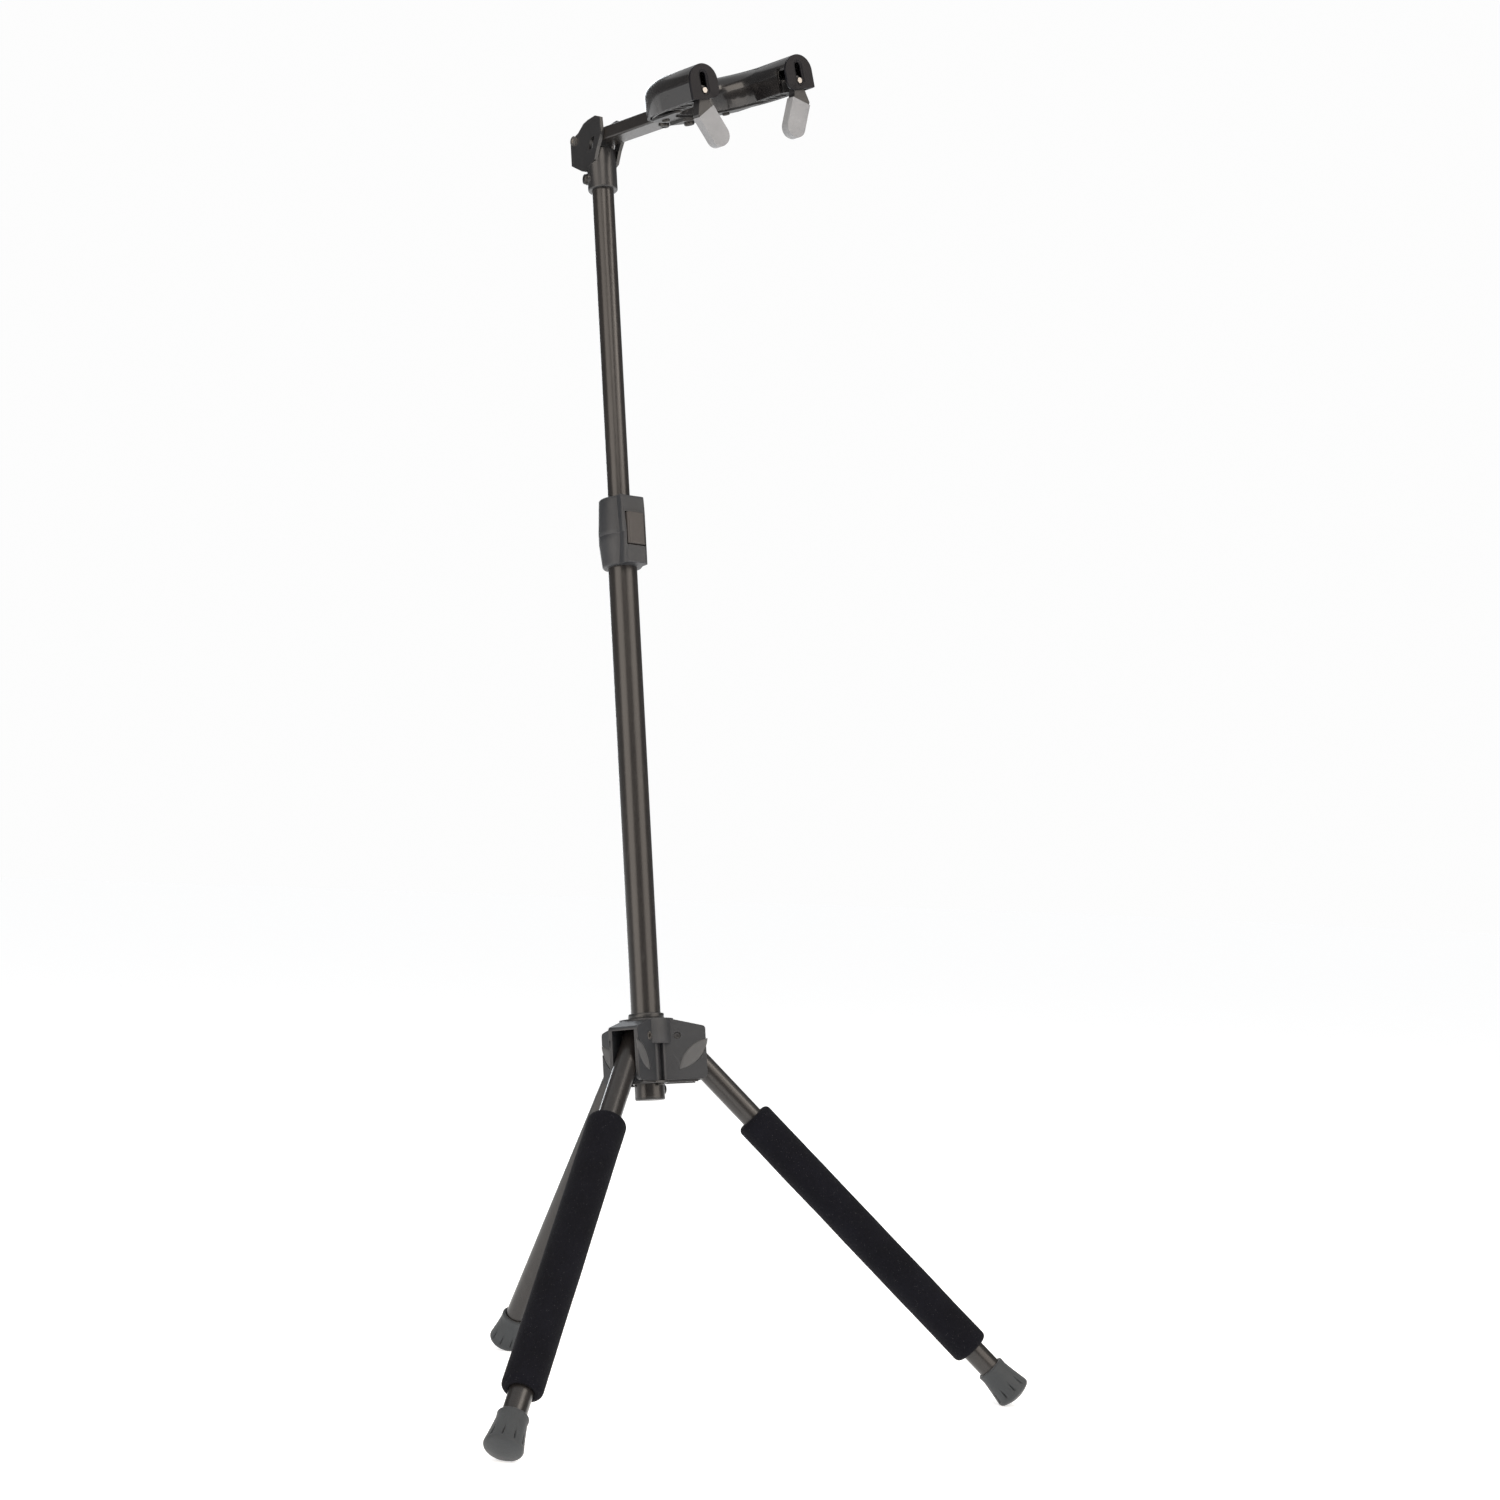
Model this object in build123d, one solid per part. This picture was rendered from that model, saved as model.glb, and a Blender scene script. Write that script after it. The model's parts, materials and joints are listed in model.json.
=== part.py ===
from build123d import *
import os

# Auto-grip tripod guitar stand. Millimetres, +Z up, the instrument hangs on the -Y side.
# The mast leans back (towards +Y). Pieces of the mast and the hub are drawn in the mast frame:
# Z runs up the mast axis and the origin is where that axis meets the floor.

# ---------------------------------------------------------------- driving dimensions
LEAN = 9.0                 # backward lean of the mast, degrees
LOWER_TUBE_D = 25.0
LOWER_TUBE_WALL = 1.5
UPPER_TUBE_D = 19.0
UPPER_TUBE_WALL = 1.3
LEG_TUBE_D = 19.0
LEG_TUBE_WALL = 1.2

STUB_BOTTOM = 248.0        # heights along the mast axis
HUB_BOTTOM = 261.0
HUB_TOP = 313.0
LOWER_TUBE_TOP = 707.0
CLUTCH_BOTTOM = 702.0
CLUTCH_TOP = 762.0
CLUTCH_SEAM = 729.0
UPPER_TUBE_BOTTOM = 631.0
COLLAR_BOTTOM = 1041.0
COLLAR_TOP = 1077.0
ARM_PIVOT_HEIGHT = 1092.0
ARM_PIVOT_BACK = 21.0      # pivot distance behind the mast axis

LEG_AZIMUTHS = {"left": 210.0, "right": 330.0, "rear": 90.0}
LEG_OPEN = 40.8            # angle between an open leg and the mast axis, degrees
LEG_PIVOT_RADIUS = 24.0
LEG_PIVOT_HEIGHT = 298.0
LEG_PIN_D = 6.0
FOAM_START = 94.0          # along the leg, from its pivot
FOAM_LENGTH = 265.5
FOAM_D = 32.0

FOOT_LENGTH = 34.0
FOOT_TOP_R = 12.3
FOOT_BOTTOM_R = 15.4
FOOT_FLUTES = 10
FOOT_SINK = 0.8            # how much of the domed sole is worn flat

ARM_WIDTH = 19.0
ARM_HEIGHT = 12.0
ARM_WALL = 1.5
ARM_TAIL = 9.0             # tube behind the pivot
ARM_LENGTH = 130.0         # tube in front of the pivot
ARM_PIN_D = 6.0

YOKE_ROLL = 16.0           # the yoke hangs rolled about the arm axis, far side up, degrees
YOKE_CENTRE = 198.0        # centre of the yoke's bend, in front of the arm pivot
YOKE_PRONG = 43.0          # straight part of each prong
YOKE_SPAN = 100.0          # between the finger pins
YOKE_BAND = 28.0           # width of the cradle's section
YOKE_TOP = 21.0            # cradle section, above and below the arm axis
YOKE_BOTTOM = -7.0
COVER_WALL = 2.5
SHAFT_D = 8.0
CRADLE_TRAVEL = 10.0

FINGER_PIN_D = 4.5
FINGER_REST = 27.0         # a finger leans in by this much at rest, degrees
FINGER_OUT = 7.7           # the paddle's centre line passes this far outside the pin
FINGER_THICK = 8.0
PADDLE_W = 18.5
PADDLE_TOP = 14.2          # from the pin to the rubber
PADDLE_END = 45.2          # from the pin to the paddle's tip

FIT = 0.05                 # running fit, radial
GAP = 0.3                  # clearance between curved faces
PAST = 5.0                 # how far a cutting tool runs past the face it cuts
FAR = 300.0                # half size of a tool that must clear the whole piece

os.makedirs("parts", exist_ok=True)
nodes = {}

MAST = Rot(X=-LEAN)
ARM_PIVOT = MAST * Pos(0, ARM_PIVOT_BACK, ARM_PIVOT_HEIGHT)
HEAD = Pos(*ARM_PIVOT.position)                    # level frame at the arm pivot
YOKE = HEAD * Rot(Y=-YOKE_ROLL)                    # rolled about the arm axis


def rod(radius, z0, z1, bore=0.0):
    """A cylinder or tube along Z from z0 to z1."""
    body = Pos(0, 0, z0) * Cylinder(radius, z1 - z0, align=(Align.CENTER, Align.CENTER, Align.MIN))
    if bore:
        cut = Pos(0, 0, z0 - 1) * Cylinder(bore, z1 - z0 + 2, align=(Align.CENTER, Align.CENTER, Align.MIN))
        body -= cut
    return body


def block(x0, x1, y0, y1, z0, z1):
    """An axis-aligned box given by its limits."""
    return Pos((x0 + x1) / 2, (y0 + y1) / 2, (z0 + z1) / 2) * Box(x1 - x0, y1 - y0, z1 - z0)


def rod_x(radius, x0, x1, y=0.0, z=0.0):
    return Pos(x0, y, z) * Rot(Y=90) * Cylinder(radius, x1 - x0, align=(Align.CENTER, Align.CENTER, Align.MIN))


def rod_y(radius, y0, y1, x=0.0, z=0.0):
    return Pos(x, y0, z) * Rot(X=-90) * Cylinder(radius, y1 - y0, align=(Align.CENTER, Align.CENTER, Align.MIN))


def turned(points):
    """A solid turned about Z from an outline of (radius, height) points."""
    wire = Polyline(*[(r, 0, z) for r, z in points], close=True)
    return revolve(make_face(wire), Axis.Z)


def keep(name, shape, place=None):
    """Files one or several solids under a node name."""
    placed = place * shape if place is not None else shape
    nodes[name] = placed if isinstance(placed, (Part, Compound, Solid)) else Compound(placed)


def group(shapes):
    return Compound([s for shape in shapes for s in shape.solids()])


# ---------------------------------------------------------------- mast base and hub
LOWER_R = LOWER_TUBE_D / 2
POCKET_REACH = 48.0        # mast axis to the outer end of a leg pocket
POCKET_WALL = 3.0
POCKET_HALF = LEG_TUBE_D / 2 + 0.6
POCKET_INNER = 14.2        # radius of the wall behind the leg
HUB_CORE_R = 22.8
HUB_ROOF = 3.0
PIN_HALF = POCKET_HALF + POCKET_WALL
HUB_SLOPE = 8.0            # the roof drops this much towards a pocket's outer end
SKIRT_BOTTOM = HUB_TOP - 21.0
WEB_AZIMUTHS = (30, 150, 270)
WEB_R = 15.8               # the corner where two pockets meet, below the skirt
RIB_OUT = 18.0             # twin ribs stand beside a channel in that corner
RIB_OFFSET = 4.2
HUB_RIB_T = 2.2
CHANNEL_HALF = 3.0
CHANNEL_DEEP = 13.6
LENS_X = 37.0              # centre of the lens-shaped panel sunk in each pocket's side
LENS_Z = HUB_BOTTOM + 21.0
LENS_R = 29.0
LENS_BEND = 15.9
LENS_DEPTH = 0.8
PLATE_T = 2.0
PIN_RECESS = 1.4
SNAP_HEIGHT = STUB_BOTTOM + 6.5
SNAP_BUTTON_R = 2.6
SNAP_PROUD = 2.2           # how far the snap button stands out of the tube
SNAP_INNER = 7.0           # mast axis to the button's back
SNAP_TRAVEL = 1.8
LEAF_T = 0.8
TUBE_RIVET_HEIGHT = CLUTCH_BOTTOM - 10.0
TUBE_RIVET_R = 2.4


def leg_hub_place(name):
    """Mast frame turned so that +X points along a leg's pocket."""
    return MAST * Rot(Z=LEG_AZIMUTHS[name])


def make_lower_tube():
    tube = rod(LOWER_R, STUB_BOTTOM, LOWER_TUBE_TOP, LOWER_R - LOWER_TUBE_WALL)
    tube -= rod_x(SNAP_BUTTON_R + FIT, 0, LOWER_R + 2, z=SNAP_HEIGHT)
    tube -= rod_x(TUBE_RIVET_R, 0, LOWER_R + 2, z=TUBE_RIVET_HEIGHT)
    keep("lower_tube", tube, MAST)


def make_hub():
    body = rod(HUB_CORE_R, SKIRT_BOTTOM, HUB_TOP) + rod(WEB_R, HUB_BOTTOM, SKIRT_BOTTOM)
    roof = Polyline((0, HUB_BOTTOM), (POCKET_REACH, HUB_BOTTOM), (POCKET_REACH, HUB_TOP - HUB_SLOPE),
                    (WEB_R, HUB_TOP), (0, HUB_TOP), close=True)
    ceiling = Polyline((POCKET_INNER, HUB_BOTTOM - PAST), (POCKET_REACH + PAST, HUB_BOTTOM - PAST),
                       (POCKET_REACH + PAST, HUB_TOP - HUB_SLOPE - HUB_ROOF - 1),
                       (WEB_R, HUB_TOP - HUB_ROOF), (POCKET_INNER, HUB_TOP - HUB_ROOF), close=True)
    cuts = []
    for azimuth in LEG_AZIMUTHS.values():
        turn = Rot(Z=azimuth)
        arm = extrude(Plane.XZ * make_face(roof), PIN_HALF, both=True)
        arm = fillet(arm.edges().filter_by(Axis.Y).group_by(Axis.X)[-1].sort_by(Axis.Z)[-1], 3)
        arm = fillet(arm.edges().filter_by(Axis.Y).group_by(Axis.X)[-1].sort_by(Axis.Z)[0], 5)
        body += turn * arm
        cuts.append(turn * extrude(Plane.XZ * make_face(ceiling), POCKET_HALF, both=True))
        cuts.append(turn * Pos(LEG_PIVOT_RADIUS, 0, LEG_PIVOT_HEIGHT) * Rot(X=90)
                    * Cylinder(LEG_PIN_D / 2, 4 * PIN_HALF))
        disc = Rot(X=90) * Cylinder(LENS_R, 2 * LENS_DEPTH)
        upper = Pos(LENS_X - LENS_BEND, 0, LENS_Z + LENS_BEND) * disc
        lower = Pos(LENS_X + LENS_BEND, 0, LENS_Z - LENS_BEND) * disc
        for side in (-1, 1):
            cuts.append(turn * Pos(0, side * PIN_HALF, 0) * (upper & lower))
    for azimuth in WEB_AZIMUTHS:
        for side in (-1, 1):
            middle = side * RIB_OFFSET
            rib = block(WEB_R - 3, RIB_OUT, middle - HUB_RIB_T / 2, middle + HUB_RIB_T / 2,
                        HUB_BOTTOM, SKIRT_BOTTOM + 1)
            body += Rot(Z=azimuth) * rib
        channel = block(CHANNEL_DEEP, RIB_OUT + PAST, -CHANNEL_HALF, CHANNEL_HALF,
                        HUB_BOTTOM - PAST, SKIRT_BOTTOM)
        cuts.append(Rot(Z=azimuth) * channel)
    body -= rod(LOWER_R, HUB_BOTTOM - PAST, HUB_TOP + PAST)
    for cut in cuts:
        body -= cut
    keep("hub_housing", body, MAST)
    keep("hub_ring", rod(LOWER_R + 2.6, HUB_TOP, HUB_TOP + 5, LOWER_R), MAST)


def make_hub_plate():
    """The steel plate under the hub, with a strip below each pocket's walls."""
    plate = rod(LOWER_R + 7, HUB_BOTTOM - PLATE_T, HUB_BOTTOM)
    for azimuth in LEG_AZIMUTHS.values():
        tongue = block(0, POCKET_REACH - 8, 0.5 - PIN_HALF, PIN_HALF - 0.5, HUB_BOTTOM - PLATE_T, HUB_BOTTOM)
        plate += Rot(Z=azimuth) * tongue
    for azimuth in LEG_AZIMUTHS.values():
        slot = block(POCKET_INNER, POCKET_REACH, -POCKET_HALF, POCKET_HALF, HUB_BOTTOM - PAST, HUB_BOTTOM + PAST)
        plate -= Rot(Z=azimuth) * slot
    plate -= rod(LOWER_R, HUB_BOTTOM - PAST, HUB_BOTTOM + PAST)
    keep("hub_plate", plate, MAST)
    screws = []
    for azimuth in WEB_AZIMUTHS:
        head = Pos(LOWER_R + 3.6, 0, HUB_BOTTOM - PLATE_T) * Rot(X=180) * make_pan_head(2.6, 1.8)
        screws.append(Rot(Z=azimuth) * head)
    keep("hub_plate_screws", group(screws), MAST)


def make_pan_head(radius, height):
    """A pan head standing on z=0 with a cross slot."""
    head = rod(radius, 0, height)
    head = fillet(head.edges().filter_by(GeomType.CIRCLE).sort_by(Axis.Z)[-1], height * 0.45)
    for turn in (0, 90):
        head -= Pos(0, 0, height) * Rot(Z=turn) * Box(radius * 1.1, radius * 0.26, height * 0.9)
    return head


def make_leg_pins():
    """Tubular rivets through the pocket walls: flared at one end, sunk at the other."""
    pins = []
    for azimuth in LEG_AZIMUTHS.values():
        pin = rod(LEG_PIN_D / 2, PIN_RECESS - PIN_HALF, PIN_HALF)
        pin += rod(LEG_PIN_D / 2 + 0.5, PIN_HALF, PIN_HALF + 0.5)
        pin -= rod(1.7, PIN_HALF - 3, PIN_HALF + PAST)
        pins.append(Rot(Z=azimuth) * Pos(LEG_PIVOT_RADIUS, 0, LEG_PIVOT_HEIGHT) * Rot(X=-90) * pin)
    keep("leg_pivot_pins", group(pins), MAST)


def make_stub():
    """The plug in the mast's foot, its snap button and the leaf spring behind the button."""
    bore = LOWER_R - LOWER_TUBE_WALL
    plug = rod(LOWER_R, STUB_BOTTOM - 2.5, STUB_BOTTOM)
    plug = fillet(plug.edges().filter_by(GeomType.CIRCLE).sort_by(Axis.Z)[0], 1.2)
    plug += rod(bore, STUB_BOTTOM, STUB_BOTTOM + 3, bore - 2)
    keep("stub_plug", plug, MAST)
    tip = LOWER_R + SNAP_PROUD
    button = rod_x(SNAP_BUTTON_R, SNAP_INNER, tip, z=SNAP_HEIGHT)
    button = fillet(button.faces().sort_by(Axis.X)[-1].edges(), SNAP_BUTTON_R * 0.8)
    keep("snap_button", button, MAST)
    leaf_face = SNAP_INNER - SNAP_TRAVEL - LEAF_T
    leaf = block(leaf_face - LEAF_T, leaf_face, -2.5, 2.5, SNAP_HEIGHT - 3, SNAP_HEIGHT + 20)
    keep("snap_spring", leaf, MAST)
    rivet = rod_x(TUBE_RIVET_R, LOWER_R - LOWER_TUBE_WALL, LOWER_R, z=TUBE_RIVET_HEIGHT)
    rivet += rod_x(1.5, LOWER_R, LOWER_R + 0.7, z=TUBE_RIVET_HEIGHT)
    keep("tube_rivet", rivet, MAST)


# ---------------------------------------------------------------- height clutch
CLUTCH_TOP_R, CLUTCH_MID_R, CLUTCH_LOW_R = 17.6, 19.2, 17.2
CLUTCH_NOSE = 22.8         # reach of the clutch's nose in front of the axis
CLUTCH_NOSE_HALF = 12.0
BUTTON_HALF = 9.0
BUTTON_LOW = CLUTCH_BOTTOM + 16.0
BUTTON_HIGH = CLUTCH_BOTTOM + 44.0
BUTTON_RIM = 0.8           # gap between the button and its window
BUTTON_TRAVEL = 3.0
BUTTON_FACE = 24.6         # mast axis to the button's face
BUTTON_BACK = 17.0         # mast axis to the button's back when pressed
BUSH_TOP = CLUTCH_TOP - 6.0
BUSH_R = 14.6
SPRING_HEIGHT = CLUTCH_SEAM + 3.0


def clutch_outline():
    """A barrel with a squarer nose in front, which leans in towards the top."""
    shell = turned([(0, CLUTCH_BOTTOM), (CLUTCH_LOW_R - 1, CLUTCH_BOTTOM), (CLUTCH_LOW_R, CLUTCH_BOTTOM + 1),
                    (CLUTCH_MID_R, CLUTCH_SEAM - 6), (CLUTCH_MID_R, CLUTCH_SEAM + 4),
                    (CLUTCH_TOP_R, CLUTCH_TOP - 1), (CLUTCH_TOP_R - 1, CLUTCH_TOP), (0, CLUTCH_TOP)])
    side = Polyline((0, CLUTCH_BOTTOM), (-CLUTCH_NOSE + 1, CLUTCH_BOTTOM), (-CLUTCH_NOSE, CLUTCH_BOTTOM + 1),
                    (-CLUTCH_NOSE, CLUTCH_SEAM), (-CLUTCH_NOSE + 3.6, CLUTCH_TOP - 1),
                    (-CLUTCH_NOSE + 4.6, CLUTCH_TOP), (0, CLUTCH_TOP), close=True)
    nose = extrude(Plane.YZ * make_face(side), CLUTCH_NOSE_HALF, both=True)
    prism = extrude(Pos(0, 0, CLUTCH_BOTTOM) * RectangleRounded(2 * CLUTCH_NOSE_HALF, 2 * CLUTCH_NOSE, 4),
                    CLUTCH_TOP - CLUTCH_BOTTOM)
    return shell + (nose & prism)


def make_clutch():
    outside = clutch_outline()
    window = block(-BUTTON_HALF - BUTTON_RIM, BUTTON_HALF + BUTTON_RIM, -FAR, 1 - BUSH_R,
                   BUTTON_LOW - BUTTON_RIM, BUTTON_HIGH + BUTTON_RIM)
    low = outside & block(-FAR, FAR, -FAR, FAR, CLUTCH_BOTTOM - PAST, CLUTCH_SEAM)
    low -= rod(LOWER_R, CLUTCH_BOTTOM - PAST, LOWER_TUBE_TOP)
    low -= rod(BUSH_R, LOWER_TUBE_TOP, CLUTCH_SEAM + PAST)
    high = outside & block(-FAR, FAR, -FAR, FAR, CLUTCH_SEAM, CLUTCH_TOP + PAST)
    high -= rod(BUSH_R, CLUTCH_SEAM - PAST, BUSH_TOP)
    high -= rod(UPPER_TUBE_D / 2 + GAP, CLUTCH_SEAM - PAST, CLUTCH_TOP + PAST)
    keep("clutch_lower", low - window, MAST)
    keep("clutch_upper", high - window, MAST)
    bush = rod(BUSH_R, LOWER_TUBE_TOP, BUSH_TOP, UPPER_TUBE_D / 2 + GAP)
    bush -= block(8, 8 + BUSH_R, -1, 1, LOWER_TUBE_TOP - PAST, BUSH_TOP - 8)
    keep("clutch_bush", bush, MAST)
    button = block(-BUTTON_HALF, BUTTON_HALF, -BUTTON_FACE, -BUTTON_BACK - BUTTON_TRAVEL, BUTTON_LOW, BUTTON_HIGH)
    button = fillet(button.edges().filter_by(Axis.Z).group_by(Axis.Y)[0], 2.5)
    button = fillet(button.faces().sort_by(Axis.Y)[0].edges().filter_by(Axis.X), 0.8)
    keep("clutch_button", button, MAST)
    spring = rod_y(2.5, -BUTTON_BACK - BUTTON_TRAVEL, -BUSH_R - 0.2, z=SPRING_HEIGHT)
    keep("button_spring", spring - rod_y(1.7, -FAR, 0, z=SPRING_HEIGHT), MAST)


make_lower_tube()
make_hub()
make_hub_plate()
make_leg_pins()
make_stub()
make_clutch()


# ---------------------------------------------------------------- upper mast and head
UPPER_R = UPPER_TUBE_D / 2
COLLAR_R = 13.0
CHEEK_GAP = ARM_WIDTH / 2 + 0.4
CHEEK_T = 3.2
CLAMP_AZIMUTH = 160.0
CLAMP_HEIGHT = COLLAR_BOTTOM + 10.0
CLAMP_BOSS = COLLAR_R + 1.2


def make_upper_mast():
    bore = UPPER_R - UPPER_TUBE_WALL
    top = COLLAR_TOP - 1.5
    keep("upper_tube", rod(UPPER_R, UPPER_TUBE_BOTTOM, top, bore), MAST)
    bush = rod(LOWER_R - LOWER_TUBE_WALL - GAP, UPPER_TUBE_BOTTOM - 4, UPPER_TUBE_BOTTOM)
    bush += rod(bore, UPPER_TUBE_BOTTOM, UPPER_TUBE_BOTTOM + 15)
    keep("guide_bush", bush - rod(5, UPPER_TUBE_BOTTOM - 5, UPPER_TUBE_BOTTOM + 20), MAST)
    cap = rod(bore, top - 10, top) + rod(UPPER_R, top, top + 3)
    keep("upper_tube_cap", cap, MAST)


def make_head_bracket():
    """Collar on the upper tube with two cheeks for the arm's hinge."""
    collar = rod(COLLAR_R, COLLAR_BOTTOM, COLLAR_TOP, UPPER_R)
    collar = fillet(collar.edges().filter_by(GeomType.CIRCLE).sort_by(SortBy.RADIUS)[-2:], 1.2)
    top = COLLAR_TOP
    side = Polyline((7, top - 18), (12, top - 16), (27, top - 6), (27, top + 15), (24, top + 18),
                    (15, top + 20), (6, top + 25.5), (-1, top + 26.5), (-12, top + 26.5), (-19, top + 23),
                    (-20, top + 8), (-13, top - 2), (-8, top - 12), close=True)
    face = make_face(side)
    face = fillet(face.vertices().group_by(Axis.Y)[-1], 4)
    window = make_face(Polyline((2, top - 3), (-4, top - 3), (-10, top + 9), (-4, top + 9), close=True))
    for sign in (-1, 1):
        cheek = extrude(Plane.YZ * (face - window), CHEEK_T)
        inner = CHEEK_GAP if sign > 0 else -CHEEK_GAP - CHEEK_T
        collar += Pos(inner, 0, 0) * cheek
    collar += Rot(Z=CLAMP_AZIMUTH) * rod_x(5, 0, CLAMP_BOSS, z=CLAMP_HEIGHT)
    collar -= rod(UPPER_R, COLLAR_BOTTOM - PAST, COLLAR_TOP + 0.5)
    collar -= rod_x(ARM_PIN_D / 2, -FAR, FAR, y=ARM_PIVOT_BACK, z=ARM_PIVOT_HEIGHT)
    collar -= Rot(Z=CLAMP_AZIMUTH) * rod_x(2.5, 0, FAR, z=CLAMP_HEIGHT)
    keep("head_bracket", collar, MAST)
    screw = rod_x(2.5, UPPER_R + 0.1, CLAMP_BOSS, z=CLAMP_HEIGHT)
    screw += Pos(CLAMP_BOSS, 0, CLAMP_HEIGHT) * Rot(Y=90) * make_pan_head(4.4, 3.0)
    keep("clamp_screw", Rot(Z=CLAMP_AZIMUTH) * screw, MAST)


def make_arm_bolt():
    outer = CHEEK_GAP + CHEEK_T
    place = MAST * Pos(0, ARM_PIVOT_BACK, ARM_PIVOT_HEIGHT)
    bolt = rod_x(ARM_PIN_D / 2, -outer, outer + 3.6)
    bolt += Pos(-outer, 0, 0) * Rot(Y=-90) * (rod(4.2, 0, 1.6) - rod(2.2, 0.8, 2))
    keep("arm_pivot_bolt", bolt, place)
    nut = Pos(outer, 0, 0) * Rot(Y=90) * extrude(RegularPolygon(5.4, 6), 3.2)
    keep("arm_pivot_nut", nut - rod_x(ARM_PIN_D / 2, 0, FAR), place)


# ---------------------------------------------------------------- swing arm
PLUG_DEPTH = 22.0
SCREW_AT = 117.0           # from the pivot to the screw under the arm's front end
SCREW_R = 2.0
YOKE_REAR = YOKE_CENTRE - YOKE_SPAN / 2 - YOKE_BAND / 2
BOSS_FRONT = YOKE_REAR + 15.0
SHAFT_TIP = BOSS_FRONT + 1.6
CLIP_T = 1.0
CLIP_GROOVE = 0.6


def make_arm():
    """Rectangular tube on the head hinge; Y runs back, the arm points to -Y."""
    outside = RectangleRounded(ARM_WIDTH, ARM_HEIGHT, 1.8)
    inside = RectangleRounded(ARM_WIDTH - 2 * ARM_WALL, ARM_HEIGHT - 2 * ARM_WALL, 0.8)
    tube = extrude(Plane.XZ * (outside - inside), ARM_LENGTH + ARM_TAIL)
    tube = Pos(0, ARM_TAIL, 0) * tube
    tube -= rod_x(ARM_PIN_D / 2 + FIT, -FAR, FAR)
    tube -= Pos(0, -SCREW_AT, -ARM_HEIGHT / 2) * Cylinder(SCREW_R, 6)
    keep("arm_tube", tube, HEAD)
    tail = Pos(0, ARM_TAIL + 1.5, 0) * extrude(Plane.XZ * outside, 1.5)
    tail += Pos(0, ARM_TAIL, 0) * extrude(Plane.XZ * inside, 3)
    keep("arm_tail_cap", tail, HEAD)
    plug = Pos(0, -ARM_LENGTH + PLUG_DEPTH, 0) * extrude(Plane.XZ * inside, PLUG_DEPTH)
    plug += Pos(0, -ARM_LENGTH, 0) * extrude(Plane.XZ * outside, 2)
    plug -= rod_y(SHAFT_D / 2, -FAR, 0)
    plug -= Pos(0, -SCREW_AT, -ARM_HEIGHT / 2) * Cylinder(SCREW_R, 4.2)
    keep("arm_plug", plug, HEAD)
    screw = Rot(X=180) * make_pan_head(4.6, 3.0) + rod(SCREW_R, 0, 2)
    keep("arm_screw", Pos(0, -SCREW_AT, -ARM_HEIGHT / 2) * screw, HEAD)
    shaft = rod_y(SHAFT_D / 2, -SHAFT_TIP, -ARM_LENGTH + PLUG_DEPTH)
    clip = rod_y(SHAFT_D / 2 + 1.8, -SHAFT_TIP + 0.2, -SHAFT_TIP + 0.2 + CLIP_T)
    clip -= rod_y(SHAFT_D / 2 - CLIP_GROOVE, -FAR, 0)
    keep("yoke_shaft", shaft - clip, HEAD)
    keep("shaft_clip", clip, HEAD)


make_upper_mast()
make_head_bracket()
make_arm_bolt()
make_arm()


# ---------------------------------------------------------------- yoke and cradle
# The U opens forward. Its bend is a half ring about (0, -YOKE_CENTRE); both prongs are straight.
HALF_SPAN = YOKE_SPAN / 2
PRONG_TIP = YOKE_CENTRE + YOKE_PRONG
FRAME_HALF = YOKE_BAND / 2 - COVER_WALL - 1.9
FRAME_TOP = 3.0
CAP_T = 2.5                # thickness of a prong's end cap
FINGER_BACK = PRONG_TIP - CAP_T - 1.0 - FINGER_THICK
FRAME_FRONT = FINGER_BACK - 0.6
PIN_ROOT = FRAME_FRONT - 4.5
TRAY_WALL = 2.2
RIB_T = 1.8
PRONG_RIBS = 4
PRONG_RIB_STEP = 10.0
BEND_RIB_ANGLES = (30, 60, 120, 150)
BOSS_HALF = 7.0
BOSS_TOP = 5.6
BOSS_REAR = YOKE_REAR + 8.0
PAD_T = 2.6                # pad under the shaft boss, with one large screw
PAD_SCREW_AT = YOKE_REAR + 15.0
REAR_PLATE_T = 1.6
SLOT_LOW = -3.0            # travel of a finger pin in its cap, plus clearance
SLOT_HIGH = 14.6
SLOT_HALF = FINGER_PIN_D / 2 + 0.5
SLOT_BORDER = 1.3
GATE_TOP = 12.5            # top of the opening a finger swings through
SPRING_AT = YOKE_CENTRE + 16.0
SPRING_R = 2.6
SPRING_PITCH = 2.6
SPRING_LENGTH = 13.6
SPRING_WIRE = 0.9


def bar_section(half, low, high, arched):
    """Section of the U as a face in XZ, centred on x=0."""
    if not arched:
        return Pos(0, (low + high) / 2) * Rectangle(2 * half, high - low)
    spring = high - half
    return Pos(0, (low + spring) / 2) * Rectangle(2 * half, spring - low) + Pos(0, spring) * Circle(half)


def u_bar(half, low, high, front, arched=False):
    """The section carried round the bend and along both prongs to y=-front."""
    section = bar_section(half, low, high, arched)
    bend = revolve(Plane.XZ * Pos(HALF_SPAN, 0) * section, Axis.Z, 180)
    bar = Pos(0, -YOKE_CENTRE, 0) * bend
    for sign in (-1, 1):
        prong = extrude(Plane.XZ * Pos(sign * HALF_SPAN, 0) * section, front - YOKE_CENTRE)
        bar += Pos(0, -YOKE_CENTRE, 0) * prong
    return bar


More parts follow.
